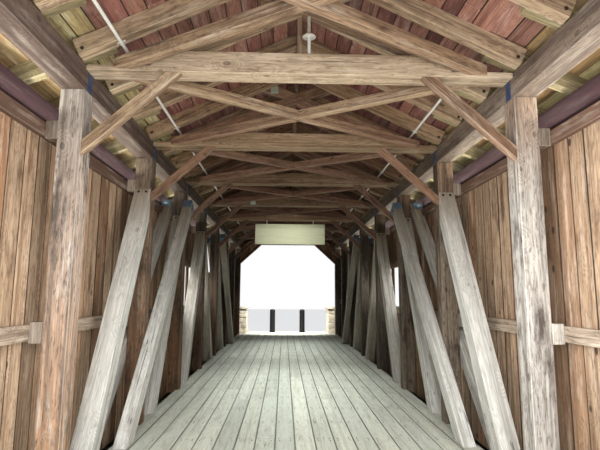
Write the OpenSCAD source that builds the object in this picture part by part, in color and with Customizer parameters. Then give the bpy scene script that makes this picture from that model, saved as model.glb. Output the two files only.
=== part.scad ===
// Covered timber truss bridge with a boarded house, board-lined gable roof and stone abutments.
// X runs across the bridge, Y along it and Z up; the ground is at Z = 0.

/* [Length] */
// Distance from one row of posts to the next, centre to centre
bay = 2167; // [2050:1:2300]
// Number of bays along the bridge, an even number
bays = 8; // [8:2:12]
// Rafters in each bay
rafters_per_bay = 3; // [2:1:3]
// Reach of the roof past the end posts
roof_reach = 600; // [570:1:800]

/* [Posts and diagonals] */
// Side of a square post
post = 205; // [190:1:220]
// Clear width between the left and right posts
clear_w = 3780; // [3600:1:4000]
// Top of the posts above the deck
post_top = 3340; // [3250:1:3450]
// Depth of a bay diagonal, square to its length
diag_d = 200; // [150:1:220]
// Gap between a post and the foot of the diagonal beside it
diag_foot = 208; // [120:1:260]
// Drop from the top of a post to the top of the diagonal against it
diag_drop = 410; // [350:1:500]
// Width of a long diagonal across the bridge
long_w = 145; // [120:1:145]
// Depth of a long diagonal, square to its length
long_d = 180; // [150:1:185]
// Distance from the foot of a long diagonal to the post that it passes
long_foot = 812; // [780:1:900]
// Distance from the head of a long diagonal to the post that it flanks
long_head = 50; // [30:1:80]
// Drop from the top of a post to the head of a long diagonal
long_drop = 230; // [200:1:300]

/* [Steel fittings] */
// Thickness of the steel plates
plate = 6; // [4:1:8]
// Length of the shoe over the head of a long diagonal
shoe_len = 180; // [120:1:220]
// Width of the strap under the end of a tie beam
strap_w = 88; // [60:1:120]

/* [Deck and floor] */
// Height of the deck above the ground
deck_top = 3000; // [2700:1:3600]
// Thickness of the deck planks
deck_t = 75; // [60:1:100]
// How far the deck's cross boards run out between the posts
deck_edge = 150; // [100:1:160]
// Thickness of the lengthwise planks over the cross boards
plank_t = 40; // [30:1:50]
// How far the lengthwise planks run out between the posts
plank_edge = 50; // [20:1:80]
// Play between the deck and the timbers that pass through it
deck_play = 5; // [2:1:10]
// Width of a floor beam
beam_w = 150; // [120:1:200]
// Height of a floor beam
beam_h = 275; // [220:1:320]
// Height of the bottom chord
low_chord_h = 300; // [250:1:350]
// Reach of the bottom chord inside the posts
low_chord_in = 155; // [120:1:200]
// Width of the joint between two sticks of the bottom chord
stick_gap = 8; // [4:1:14]
// Depth of the joint between two sticks of the bottom chord
stick_cut = 20; // [8:1:40]
// Height of a bed timber under the chord ends
bed_h = 150; // [120:1:200]
// Width of a bed timber
bed_w = 280; // [200:1:320]

/* [Roof frame] */
// Height of the top chord
chord_h = 220; // [190:1:250]
// Height from the underside of the top chord to the underside of a tie beam
tie_lift = 175; // [150:1:185]
// Height of a tie beam
tie_h = 195; // [170:1:220]
// Height of the thin end of a tie beam
tie_end_h = 52; // [46:1:60]
// Half length of the full depth part of a tie beam
tie_flat = 1025; // [950:1:1080]
// Rise of a scissor brace for each unit across
scissor_slope = 0.40; // [0.38:0.01:0.42]
// Plumb depth of a scissor brace
scissor_h = 145; // [130:1:160]
// Thickness of a scissor brace along the bridge
scissor_t = 120; // [80:1:140]
// Length of the level toe of a scissor brace on the tie
scissor_toe = 228; // [200:1:260]
// Length of the open slot under a scissor brace, at the step of the tie
tie_slot = 48; // [30:1:60]
// Width of a king post board across the bridge
king_w = 45; // [30:1:60]
// Thickness of a king post board along the bridge
king_t = 45; // [30:1:60]
// Run of a knee brace along the tie, to its lower edge
knee_run = 823; // [750:1:900]
// Drop of a knee brace down the post, to its lower edge
knee_drop = 755; // [700:1:820]
// Plumb height of a knee brace against the post
knee_h = 120; // [90:1:150]
// Thickness of a knee brace along the bridge
knee_t = 90; // [60:1:120]
// Width of a lateral brace
lateral_w = 90; // [70:1:110]
// Height of a lateral brace
lateral_h = 100; // [80:1:110]
// Height of a lateral brace above the underside of the ties
lateral_lift = 15; // [5:1:25]
// Distance from a post to the end of a lateral brace
lateral_in = 315; // [300:1:400]

/* [Roof] */
// Rise of a rafter for each unit across
rafter_slope = 0.48; // [0.46:0.01:0.52]
// Plumb depth of a rafter
rafter_h = 173; // [150:1:190]
// Thickness of a rafter along the bridge
rafter_t = 105; // [80:1:110]
// Height of a rafter over the inner edge of the top chord
rafter_lift = 13; // [8:1:20]
// Reach of an inner rafter past the inner face of the posts
rafter_reach = 5; // [0:1:40]
// Distance of a rafter from the front of the posts
rafter_gap = 40; // [30:1:45]
// Thickness of a rafter tail along the bridge
tail_t = 90; // [60:1:95]
// Length of a rafter tail inside the posts
tail_in = 260; // [200:1:280]
// Fall of a rafter tail, and of the roof over it, for each unit across
tail_slope = 0.41; // [0.40:0.01:0.43]
// Distance from the last rafter tail to the edge of the roof
barge_in = 33; // [10:1:60]
// Reach of the eaves past the posts
eave = 465; // [400:1:520]
// Thickness of the ridge board
ridge_t = 40; // [25:1:50]
// Height of the ridge board
ridge_h = 190; // [150:1:220]
// Thickness of the eave boards, the frieze boards and the gable boards
board_t = 30; // [20:1:36]
// Height of an eave board
eave_h = 180; // [160:1:220]
// Height of a frieze board under the tails
frieze_h = 360; // [300:1:380]
// Lap of a frieze board over the siding
frieze_lap = 120; // [80:1:150]
// Thickness of the roof boards
roof_board_t = 22; // [18:1:30]
// Thickness of the shingles
shingle_t = 28; // [20:1:40]
// Overhang of the roof past the eave boards
drip = 40; // [20:1:60]
// Half width of the ridge cap
cap_w = 160; // [120:1:200]
// Thickness of the ridge cap
cap_t = 22; // [18:1:30]

/* [Side walls] */
// Thickness of the siding
siding_t = 28; // [22:1:32]
// Top of the siding above the deck
siding_top = 3050; // [2980:1:3120]
// Depth of the siding below the deck
siding_drop = 720; // [660:1:760]
// Thickness of a girt
girt_t = 55; // [40:1:70]
// Thickness of the block between a girt and a post
block_t = 100; // [100:1:110]
// Height of the middle girt
girt_h = 130; // [110:1:150]
// Top of the middle girt above the deck, which is the window sill
sill_z = 1330; // [1300:1:1400]
// Underside of the upper girt above the deck
upper_z = 2910; // [2880:1:2940]
// Height of the upper girt
upper_h = 120; // [100:1:130]
// Extra height of a block over its girt, at top and at bottom
block_extra = 20; // [5:1:25]
// Head of the low windows above the deck, which is the sill of the high window on the left
head_z = 2150; // [2050:1:2200]
// Head of the high window on the left above the deck
high_head_z = 2870; // [2800:1:2875]
// Height of the rail over the low windows
head_rail_h = 130; // [100:1:150]
// Height of the rail under the high window
sill_rail_h = 90; // [70:1:110]

/* [Stonework] */
// Half width of an abutment
abut_w = 2900; // [2700:1:3200]
// Length of the seat from the back wall to the face of an abutment
seat_len = 950; // [800:1:1200]
// Gap between the end posts and the back wall
seat_gap = 180; // [150:1:260]
// Length of the back wall along the bridge
back_len = 1150; // [1100:1:1500]
// Inner face of a parapet from the centre line
parapet_in = 1650; // [1640:1:1800]
// Thickness of a parapet
parapet_t = 500; // [400:1:600]
// Height of a parapet with its cap
parapet_h = 1050; // [850:1:1150]
// Thickness of the parapet cap
coping_h = 80; // [60:1:120]
// Overhang of the parapet cap
coping_over = 55; // [20:1:70]

/* [Fittings] */
// Diameter of a bollard
bollard_d = 220; // [180:1:260]
// Height of a bollard
bollard_h = 940; // [800:1:1000]
// Distance of a bollard from the centre line
bollard_x = 610; // [500:1:800]
// Distance of the bollards from the back wall's inner edge
bollard_y = 600; // [550:1:700]
// Number of ribs on a bollard
bollard_ribs = 12; // [8:1:16]
// Diameter of a conduit
pipe_d = 30; // [20:1:36]
// Distance from the posts to a conduit
conduit_in = 330; // [300:1:400]
// Distance of the lamp pipe from the centre line
lamp_x = 60; // [45:1:90]
// Diameter of the lamp's shade
shade_d = 125; // [100:1:160]
// Height of the shade above the tie beam
shade_lift = 180; // [150:1:200]
// Width of the sign board
sign_w = 1850; // [1500:1:2000]
// Height of the sign board
sign_h = 540; // [400:1:560]
// Thickness of the sign board
sign_t = 22; // [15:1:30]
// Length of the hangers of the sign board
hanger = 100; // [80:1:160]

/* [Hidden] */
mid = bays / 2;
half_len = bays * bay / 2 + post / 2;
roof_y = half_len + roof_reach;
post_in = clear_w / 2;
post_out = post_in + post;
siding_x = post_out + block_t + girt_t;
house_x = siding_x + siding_t;
// Heights from the deck: the frame is drawn around the deck's top and then lifted
chord_top = post_top + chord_h;
tie_z = post_top + tie_lift;
tie_top = tie_z + tie_h;
beam_top = -deck_t;
low_top = beam_top - beam_h;
low_z = low_top - low_chord_h;
seat_z = low_z - bed_h;
tie_end_z = tie_z + tie_end_h;
bevel_x = tie_flat + (tie_top - tie_end_z) / scissor_slope;
step_x = bevel_x - tie_slot;
toe_x = bevel_x + scissor_toe;
rafter_step = bay / rafters_per_bay;
slope_len = sqrt(1 + rafter_slope * rafter_slope);
eave_x = post_out + eave;
// Line where the roof changes to the flatter fall of the tails
kick_x = post_in - tail_in;
seat_y = half_len + seat_gap;
// Unit used where one solid has to reach past another to cut it
over = 1;

// Steel, stone and timber colours
c_post = "#8f8271";
c_tie = "#988467";
c_pale = "#b0ab9d";
c_chord = "#7d7560";
c_siding = "#967355";
c_deck = "#a5aaa0";
c_roof = "#8a5f58";
c_stone = "#beac8c";

// Plane of the posts' near faces at post row i
function row_y(i) = (i - mid) * bay - post / 2;
// Underside of a rafter at x
function rafter_z(x) = chord_top + rafter_lift + rafter_slope * (post_in - abs(x));
// Underside of the roof boards at x, on the rafters and then on the tails
function roof_z(x) = rafter_z(min(abs(x), kick_x)) + rafter_h - tail_slope * max(abs(x) - kick_x, 0);
// Underside of a rafter tail at x
function tail_z(x) = roof_z(x) - rafter_h;
// Underside of the scissor brace whose toe is on the right, at x
function scissor_z(x) = tie_top + scissor_slope * (tie_flat - x);
// Planes where the rafters and their tails meet, and the plane of the last pair under each overhang
last_row = mid * rafters_per_bay;
rafter_rows = [for (k = [-last_row:last_row]) k * rafter_step - post / 2 - rafter_gap];
end_row = -roof_y + barge_in + tail_t;

// Everything above is measured from the deck
module lift() {
    translate([0, 0, deck_top]) children();
}

// A profile in the X-Z plane, drawn along Y from y for a length
module across(y, length) {
    translate([0, y + length, 0])
        rotate([90, 0, 0])
            linear_extrude(height = length) children();
}

// A profile in the Y-Z plane, drawn along X from x for a width
module along(x, width) {
    translate([x, 0, 0])
        rotate([90, 0, 90])
            linear_extrude(height = width) children();
}

// The same on the left and on the right
module both_sides() {
    children();
    mirror([1, 0, 0]) children();
}

// The same at the near end and at the far end
module both_ends() {
    children();
    mirror([0, 1, 0]) children();
}

// Stone abutment: a seat for the chord ends and a back wall up to the deck
module abutment() {
    color(c_stone)
        along(-abut_w, 2 * abut_w)
            polygon([
                [-seat_y - back_len, 0],
                [-seat_y + seat_len, 0],
                [-seat_y + seat_len, deck_top + seat_z],
                [-seat_y, deck_top + seat_z],
                [-seat_y, deck_top],
                [-seat_y - back_len, deck_top]
            ]);
}

module abutment_near() {
    abutment();
}

module abutment_far() {
    mirror([0, 1, 0]) abutment();
}

// Low walls beside the road at each end, each with a flat cap
module parapets() {
    color(c_stone) lift() both_sides() both_ends() {
        translate([parapet_in, -seat_y - back_len + coping_over, 0])
            cube([parapet_t, back_len - 2 * coping_over, parapet_h - coping_h]);
        translate([parapet_in - coping_over, -seat_y - back_len, parapet_h - coping_h])
            cube([parapet_t + 2 * coping_over, back_len, coping_h]);
    }
}

// Ribbed bollard with a rounded head
module bollard() {
    rib = bollard_d / bollard_ribs;
    head = bollard_d / 4;
    rotate_extrude($fn = 48)
        difference() {
            union() {
                square([bollard_d / 2 - rib / 2, bollard_h - head]);
                square([bollard_d / 2, 2 * rib]);
                translate([0, bollard_h - head - rib]) square([bollard_d / 2, rib]);
                translate([0, bollard_h - head])
                    intersection() {
                        scale([2, 1]) circle(d = bollard_d / 2, $fn = 48);
                        square([bollard_d / 2, head]);
                    }
            }
            translate([-bollard_d, -over]) square([bollard_d, bollard_h + 2 * over]);
        }
    for (k = [0:bollard_ribs - 1])
        rotate([0, 0, k * 360 / bollard_ribs])
            translate([0, -rib / 4, 0])
                cube([bollard_d / 2 - rib / 8, rib / 2, bollard_h - head - rib / 2]);
}

module bollards() {
    color("#26282a") lift() both_sides() both_ends()
        translate([bollard_x, -seat_y - bollard_y, 0]) bollard();
}

// Two timbers across each seat that carry the chord ends
module bed_timbers() {
    color(c_chord) lift() both_ends()
        for (y = [0, 2])
            translate([-siding_x, -half_len + seat_gap / 4 + y * bed_w / 1.2, seat_z])
                cube([2 * siding_x, bed_w, bed_h]);
}

// Bottom chord of each truss: three sticks side by side
module bottom_chords() {
    inner = post_in - low_chord_in;
    stick = (siding_x - inner) / 3;
    color(c_chord) lift() both_sides()
        difference() {
            translate([inner, -half_len, low_z])
                cube([siding_x - inner, 2 * half_len, low_chord_h]);
            for (k = [1, 2], z = [low_z - over, low_top - stick_cut])
                translate([inner + k * stick - stick_gap / 2, -half_len - over, z])
                    cube([stick_gap, 2 * half_len + 2 * over, stick_cut + over]);
        }
}

// Cross beams on the inner sticks of the bottom chords
module floor_beams() {
    step = bay / 3;
    color(c_chord) lift()
        for (k = [-3 * mid:3 * mid])
            translate([-post_in + deck_play, k * step - beam_w / 2, low_top])
                cube([2 * (post_in - deck_play), beam_w, beam_h]);
}

// Side view of the bay diagonal that leans on the post row after row i
module diagonal_profile(i) {
    foot = [row_y(i) + post + diag_foot, low_top];
    head = [row_y(i + 1), post_top - diag_drop];
    lean = atan2(head[1] - foot[1], head[0] - foot[0]);
    polygon([
        foot,
        foot + [diag_d / sin(lean), 0],
        head - [0, diag_d / cos(lean)],
        head
    ]);
}

// Diagonals of the near half; the far half mirrors them
module diagonal_profiles() {
    for (i = [1:mid - 1]) {
        diagonal_profile(i);
        mirror([1, 0]) diagonal_profile(i);
    }
}

module diagonals() {
    color(c_pale) lift() both_sides()
        along(post_in, post) diagonal_profiles();
}

// Side view of a long diagonal from its foot at z up to its head
long_a = [row_y(mid - 2) - long_foot, 0];
long_b = [row_y(mid - 1) - long_head, post_top - long_drop];
long_lean = atan2(long_b[1] - long_a[1], long_b[0] - long_a[0]);
long_len = norm(long_b - long_a);

module long_profile(z, grow) {
    reach = -low_top * 2 + long_d;
    difference() {
        translate(long_b)
            rotate(long_lean)
                translate([-long_len - reach, -long_d / 2 - grow])
                    square([long_len + reach + grow, long_d + 2 * grow]);
        translate([long_a[0] - 3 * reach, z - 3 * reach])
            square([6 * reach, 3 * reach]);
    }
}

// Long diagonals on both sides of one post row, standing on the deck inside and on the chord outside
module long_diagonals() {
    color(c_pale) lift() both_sides() both_ends() {
        along(post_in - long_w, long_w) long_profile(0, 0);
        along(post_out, long_w) long_profile(low_top, 0);
    }
}

// Side view of the shoe over the head of a long diagonal
module shoe_profile(grow, back) {
    translate(long_b)
        rotate(long_lean)
            translate([-shoe_len - back, -long_d / 2 - grow])
                square([shoe_len + back + grow, long_d + 2 * grow]);
}

// Steel shoe with its open side against the post
module shoe() {
    difference() {
        along(0, long_w + plate) shoe_profile(plate, 0);
        along(-over, long_w + over) shoe_profile(0, over);
    }
}

module steel_shoes() {
    color("#b9bec2") lift() both_sides() both_ends() {
        translate([post_out, 0, 0]) shoe();
        translate([post_in, 0, 0]) mirror([1, 0, 0]) shoe();
    }
}

// Strap on the inner face of the top chord under each end of a tie beam
module steel_straps() {
    color("#2c3f66") lift() both_sides()
        for (i = [0:bays])
            translate([post_in - plate, row_y(i) + (post - strap_w) / 2, post_top + over])
                cube([plate, strap_w, tie_lift - over]);
}

// Deck of lengthwise planks over cross boards, notched round the posts and the bay diagonals
module deck() {
    color(c_deck) lift()
        difference() {
            union() {
                translate([-post_in - deck_edge, -half_len, -deck_t])
                    cube([2 * (post_in + deck_edge), 2 * half_len, deck_t]);
                translate([-post_in + deck_play, -seat_y, -deck_t])
                    cube([2 * (post_in - deck_play), 2 * seat_y, deck_t]);
            }
            both_sides() {
                translate([post_in + plank_edge, -half_len - over, -plank_t])
                    cube([deck_edge, 2 * half_len + 2 * over, plank_t + over]);
                for (i = [0:bays])
                    translate([post_in - deck_play, row_y(i) - deck_play, -deck_t - over])
                        cube([post, post + 2 * deck_play, deck_t + 2 * over]);
                for (i = [1:mid - 1], s = [1, -1])
                    deck_slot(i, s);
            }
        }
}

// Slot in the deck for a bay diagonal
module deck_slot(i, s) {
    foot = [row_y(i) + post + diag_foot, low_top];
    head = [row_y(i + 1), post_top - diag_drop];
    run = (head[0] - foot[0]) / (head[1] - foot[1]);
    lean = atan2(1, run);
    near = foot[0] + (-deck_t - low_top) * run;
    size = diag_d / sin(lean) + deck_t * run + 2 * deck_play;
    translate([post_in - deck_play, s > 0 ? near - deck_play : -near + deck_play - size, -deck_t - over])
        cube([post, size, deck_t + 2 * over]);
}

module posts() {
    color(c_post) lift() both_sides()
        for (i = [0:bays])
            translate([post_in, row_y(i), low_top])
                cube([post, post, post_top - low_top]);
}

module top_chords() {
    color(c_chord) lift() both_sides()
        translate([post_in, -roof_y, post_top])
            cube([post, 2 * roof_y, chord_h]);
}

// Tie beam: full depth in the middle, bevelled under the scissor braces, with a step down to a thin end
module tie_beams() {
    color(c_tie) lift()
        for (i = [0:bays])
            across(row_y(i), post)
                polygon([
                    [-post_in, tie_z],
                    [post_in, tie_z],
                    [post_in, tie_end_z],
                    [step_x, tie_end_z],
                    [step_x, scissor_z(step_x)],
                    [tie_flat, tie_top],
                    [-tie_flat, tie_top],
                    [-step_x, scissor_z(step_x)],
                    [-step_x, tie_end_z],
                    [-post_in, tie_end_z]
                ]);
}

module knee_braces() {
    run_top = knee_run * knee_h / knee_drop;
    color(c_tie) lift() both_sides()
        for (i = [0:bays])
            across(row_y(i), knee_t)
                polygon([
                    [post_in - knee_run, tie_z],
                    [post_in, tie_z - knee_drop],
                    [post_in, tie_z - knee_drop + knee_h],
                    [post_in - knee_run + run_top, tie_z]
                ]);
}

// Plan of one brace across bay i, from the left near corner to the right far corner
module lateral_plan(i) {
    y0 = row_y(i) + post;
    y1 = row_y(i + 1);
    x = post_in - lateral_in;
    w = lateral_w / 2 * norm([2 * x, y1 - y0]) / (y1 - y0);
    polygon([[-x - w, y0], [-x + w, y0], [x + w, y1], [x - w, y1]]);
}

module lateral(i, z, h) {
    translate([0, 0, z])
        linear_extrude(height = h) lateral_plan(i);
}

// Crossed braces between the tie beams, halved where they cross
module lateral_braces_a() {
    z = tie_z + lateral_lift;
    color(c_tie) lift()
        for (i = [0:bays - 1])
            difference() {
                lateral(i, z, lateral_h);
                mirror([1, 0, 0]) lateral(i, z + lateral_h / 2, lateral_h);
            }
}

module lateral_braces_b() {
    z = tie_z + lateral_lift;
    color(c_tie) lift()
        for (i = [0:bays - 1])
            difference() {
                mirror([1, 0, 0]) lateral(i, z, lateral_h);
                lateral(i, z - lateral_h / 2, lateral_h);
            }
}

// Scissor brace with its toe on the right: it bears on the tie's bevel and rises past the middle
module scissor_profile() {
    end_low = (roof_z(0) - scissor_z(0)) / (scissor_slope + rafter_slope);
    end_high = (roof_z(0) - scissor_z(0) - scissor_h) / (scissor_slope + rafter_slope);
    polygon([
        [bevel_x, tie_end_z],
        [toe_x, tie_end_z],
        [toe_x, scissor_z(toe_x) + scissor_h],
        [-end_high, roof_z(end_high)],
        [-end_low, roof_z(end_low)]
    ]);
}

module scissors_right() {
    color(c_tie) lift()
        for (i = [0:bays])
            difference() {
                across(row_y(i), scissor_t) scissor_profile();
                across(row_y(i) - over, scissor_t / 2 + over)
                    mirror([1, 0]) scissor_profile();
            }
}

module scissors_left() {
    color(c_tie) lift()
        for (i = [0:bays])
            difference() {
                across(row_y(i), scissor_t) mirror([1, 0]) scissor_profile();
                across(row_y(i) + scissor_t / 2, scissor_t / 2 + over)
                    scissor_profile();
            }
}

// Underside of the ridge board
ridge_z = roof_z(ridge_t / 2) - ridge_h;

module king_posts() {
    color(c_tie) lift()
        for (i = [0:bays])
            translate([-king_w, row_y(i) + scissor_t, tie_top])
                cube([king_w, king_t, ridge_z - tie_top]);
}

module ridge_board() {
    color(c_chord) lift()
        translate([-ridge_t / 2, -roof_y, ridge_z])
            cube([ridge_t, 2 * roof_y, ridge_h]);
}

// Inner rafter, square cut at the top chord and bolted to the tail beside it
module rafter_profile() {
    x1 = post_in + rafter_reach;
    cut_x = x1 + rafter_h * rafter_slope / (slope_len * slope_len);
    difference() {
        polygon([
            [ridge_t / 2, rafter_z(ridge_t / 2)],
            [ridge_t / 2, rafter_z(ridge_t / 2) + rafter_h],
            [cut_x, rafter_z(cut_x) + rafter_h],
            [x1, rafter_z(x1)]
        ]);
        square([post_out, chord_top]);
    }
}

// Rafter tail with a birdsmouth over the top chord
module tail_profile() {
    difference() {
        polygon([
            [kick_x, tail_z(kick_x)],
            [kick_x, roof_z(kick_x)],
            [eave_x, roof_z(eave_x)],
            [eave_x, tail_z(eave_x)]
        ]);
        square([post_out, chord_top]);
    }
}

module rafters() {
    color(c_tie) lift() both_sides() {
        for (y = rafter_rows)
            across(y - rafter_t, rafter_t) rafter_profile();
        both_ends() across(end_row, rafter_t) rafter_profile();
    }
}

module rafter_tails() {
    color("#8c8462") lift() both_sides() {
        for (y = rafter_rows)
            across(y, tail_t) tail_profile();
        both_ends() across(end_row - tail_t, tail_t) tail_profile();
    }
}

// Band of the roof between two heights square to the rafters, with the kick over the tails
module roof_band(low, high) {
    x0 = ridge_t / 2;
    x1 = eave_x + board_t + drip;
    a = low * slope_len;
    b = high * slope_len;
    polygon([
        [x0, roof_z(x0) + a],
        [kick_x, roof_z(kick_x) + a],
        [x1, roof_z(x1) + a],
        [x1, roof_z(x1) + b],
        [kick_x, roof_z(kick_x) + b],
        [x0, roof_z(x0) + b]
    ]);
}

module roof_boards() {
    color(c_roof) lift() both_sides()
        across(-roof_y, 2 * roof_y) roof_band(0, roof_board_t);
}

module shingles() {
    color("#7b7468") lift() both_sides()
        across(-roof_y - board_t, 2 * (roof_y + board_t))
            roof_band(roof_board_t, roof_board_t + shingle_t);
}

// Two boards in a vee over the ridge
module ridge_cap() {
    low = roof_z(0) + (roof_board_t + shingle_t) * slope_len;
    fall = cap_w * rafter_slope;
    h = cap_t * slope_len;
    color("#6d665b") lift()
        across(-roof_y - board_t, 2 * (roof_y + board_t))
            polygon([
                [0, low],
                [cap_w, low - fall],
                [cap_w, low - fall + h],
                [0, low + h],
                [-cap_w, low - fall + h],
                [-cap_w, low - fall]
            ]);
}

// Boards over the ends of the rafter tails
module eave_boards() {
    x1 = eave_x + board_t;
    color("#46303a") lift() both_sides()
        across(-roof_y, 2 * roof_y)
            polygon([
                [eave_x, roof_z(x1) - eave_h],
                [x1, roof_z(x1) - eave_h],
                [x1, roof_z(x1)],
                [eave_x, roof_z(eave_x)]
            ]);
}

// Boards that hide the tails from the deck, with a gap for air over them
module frieze_boards() {
    low = siding_top - frieze_lap;
    top = min(low + frieze_h, tail_z(house_x + board_t) - 2 * board_t);
    color("#4a343c") lift() both_sides()
        translate([house_x, -half_len - board_t, low])
            cube([board_t, 2 * (half_len + board_t), top - low]);
}

// Height and underside of the blocks and girts, middle and upper
girt_rows = [[sill_z - girt_h, girt_h], [upper_z, upper_h]];

// Blocks on the posts' outer faces; none where the head of a long diagonal lies
module girt_blocks() {
    color(c_pale) lift() both_sides()
        for (i = [0:bays], g = [0, 1])
            if (g == 0 || abs(i - mid) != 1)
                translate([post_out, row_y(i) + (i > mid ? post / 2 : 0), girt_rows[g][0] - block_extra])
                    cube([block_t, post / 2, girt_rows[g][1] + 2 * block_extra]);
}

// One rail behind the siding from y0 to y1, cut where a long diagonal passes
module rail(y0, y1, z, h) {
    difference() {
        translate([post_out + block_t, y0, z])
            cube([girt_t, y1 - y0, h]);
        both_ends()
            along(post_out + block_t - over, girt_t + 2 * over)
                long_profile(low_top, plate);
    }
}

module girts() {
    color(c_chord) lift() both_sides()
        for (g = girt_rows)
            rail(-half_len, half_len, g[0], g[1]);
}

// Rails over the low windows, and under the high window on the left
module window_rails() {
    color(c_chord) lift() {
        both_sides()
            rail(row_y(mid - 1) + post / 2, row_y(mid + 1) + post / 2, head_z, head_rail_h);
        mirror([1, 0, 0])
            rail(row_y(mid + 1) + post, row_y(mid + 2) + post / 2, head_z - sill_rail_h, sill_rail_h);
    }
}

// Window between the posts in the bay after row i
module window(i, z0, z1) {
    translate([siding_x - over, row_y(i) + post, z0])
        cube([siding_t + 2 * over, bay - post, z1 - z0]);
}

// Boarded wall with two low windows in the middle bays, and one high window after them if asked
module siding(high) {
    color(c_siding) lift()
        difference() {
            translate([siding_x, -half_len, -siding_drop])
                cube([siding_t, 2 * half_len, siding_top + siding_drop]);
            for (i = [mid - 1, mid])
                window(i, sill_z, head_z);
            if (high)
                window(mid + 1, head_z, high_head_z);
        }
}

module siding_right() {
    siding(false);
}

module siding_left() {
    mirror([1, 0, 0]) siding(true);
}

// Boarded gable round the portal, cut for the chords, the ridge board and the knee braces' line
module gable(y, tails) {
    color(c_siding) lift()
        difference() {
            across(y, board_t)
                difference() {
                    polygon([
                        [-house_x, -siding_drop],
                        [house_x, -siding_drop],
                        [house_x, roof_z(house_x)],
                        [kick_x, roof_z(kick_x)],
                        [0, roof_z(0)],
                        [-kick_x, roof_z(kick_x)],
                        [-house_x, roof_z(house_x)]
                    ]);
                    polygon([
                        [-post_in, -siding_drop - over],
                        [post_in, -siding_drop - over],
                        [post_in, tie_z - knee_drop],
                        [post_in - knee_run, tie_z],
                        [-post_in + knee_run, tie_z],
                        [-post_in, tie_z - knee_drop]
                    ]);
                    translate([post_in, post_top]) square([post, chord_h]);
                    translate([-post_out, post_top]) square([post, chord_h]);
                    translate([-ridge_t / 2, ridge_z]) square([ridge_t, 2 * ridge_h]);
                }
            if (tails)
                both_sides() across(y - over, board_t + 2 * over) tail_profile();
        }
}

module gable_near() {
    gable(-half_len - board_t, true);
}

module gable_far() {
    gable(half_len, false);
}

// Pipe under the rafters on the right, from the far side of tie i to the last tie
module conduit(i) {
    x = post_in - conduit_in;
    translate([x, row_y(i) + post, rafter_z(x) - pipe_d / 2 * slope_len])
        rotate([-90, 0, 0])
            cylinder(d = pipe_d, h = row_y(bays) - row_y(i) - post, $fn = 24);
}

module conduits() {
    color("#d8d8d2") lift() {
        conduit(1);
        mirror([1, 0, 0]) conduit(0);
    }
}

// Lamp pipe from the second tie up to the crossing, with a shade
module lamp_drop() {
    top = scissor_z(lamp_x + pipe_d / 2);
    color("#e2e2dc") lift()
        translate([lamp_x, row_y(1) + scissor_t / 2 - pipe_d / 3, tie_top]) {
            cylinder(d = pipe_d, h = top - tie_top, $fn = 24);
            translate([0, 0, shade_lift])
                cylinder(d1 = shade_d, d2 = shade_d / 2, h = shade_d / 4, $fn = 32);
        }
}

// Bare sign board hung under a tie beam
module sign_board() {
    z = tie_z - hanger - sign_h;
    color("#cdd2af") lift()
        translate([0, row_y(mid + 1), z]) {
            translate([-sign_w / 2, 0, 0]) cube([sign_w, sign_t, sign_h]);
            for (x = [-sign_w / 3, sign_w / 3])
                translate([x - sign_t / 2, 0, sign_h]) cube([sign_t, sign_t / 2, hanger]);
        }
}

abutment_near();
abutment_far();
parapets();
bollards();
bed_timbers();
bottom_chords();
floor_beams();
deck();
posts();
diagonals();
long_diagonals();
steel_shoes();
steel_straps();
top_chords();
tie_beams();
knee_braces();
lateral_braces_a();
lateral_braces_b();
scissors_right();
scissors_left();
king_posts();
ridge_board();
rafters();
rafter_tails();
roof_boards();
shingles();
ridge_cap();
eave_boards();
frieze_boards();
girt_blocks();
girts();
window_rails();
siding_right();
siding_left();
gable_near();
gable_far();
conduits();
lamp_drop();
sign_board();
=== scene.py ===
"""Looks of a covered timber bridge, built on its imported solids. Metres; X across, Y along, Z up."""

import math
import random

import bpy
from mathutils import Matrix, Vector


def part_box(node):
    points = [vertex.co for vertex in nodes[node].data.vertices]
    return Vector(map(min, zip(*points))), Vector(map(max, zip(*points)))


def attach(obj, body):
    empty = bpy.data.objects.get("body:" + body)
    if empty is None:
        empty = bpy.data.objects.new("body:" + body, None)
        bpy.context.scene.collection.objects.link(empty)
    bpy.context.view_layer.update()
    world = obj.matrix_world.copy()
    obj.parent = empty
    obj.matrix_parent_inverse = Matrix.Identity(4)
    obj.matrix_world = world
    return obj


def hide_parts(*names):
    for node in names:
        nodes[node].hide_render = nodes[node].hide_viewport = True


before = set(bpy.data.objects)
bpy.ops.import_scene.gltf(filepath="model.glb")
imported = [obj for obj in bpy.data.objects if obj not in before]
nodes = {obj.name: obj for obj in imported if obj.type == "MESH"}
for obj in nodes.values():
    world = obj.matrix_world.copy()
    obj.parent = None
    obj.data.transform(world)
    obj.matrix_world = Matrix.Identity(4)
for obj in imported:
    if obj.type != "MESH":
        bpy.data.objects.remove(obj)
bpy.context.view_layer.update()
scene = bpy.context.scene
rng = random.Random(7)

# Sizes that the solids share, in metres
DECK = 3.0
BAY = 2.167
ROWS = 9
POST = 0.205
POST_IN = 1.89
POST_OUT = 2.095
RAFTER_SLOPE = 0.48
TAIL_SLOPE = 0.41
KICK_X = 1.63
RAFTER_TOP = 4.6532
HALF_LEN = 8.7705
ROOF_Y = 9.3705
SLOPE_LEN = math.hypot(1, RAFTER_SLOPE)
# Floor beams and rafters stand three to a bay
STEP = BAY / 3
STEPS = range(-12, 13)


def row_y(i):
    """Near face of post row i."""
    return (i - (ROWS - 1) / 2) * BAY - POST / 2


# Helpers
def only(*pieces):
    """Selects these pieces and nothing else."""
    if bpy.context.object and bpy.context.object.mode != "OBJECT":
        bpy.ops.object.mode_set(mode="OBJECT")
    bpy.ops.object.select_all(action="DESELECT")
    for piece in pieces:
        piece.select_set(True)
    bpy.context.view_layer.objects.active = pieces[0]


def edit():
    """Opens the active piece in edit mode with all of it selected."""
    bpy.ops.object.mode_set(mode="EDIT")
    bpy.ops.mesh.select_all(action="SELECT")


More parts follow.
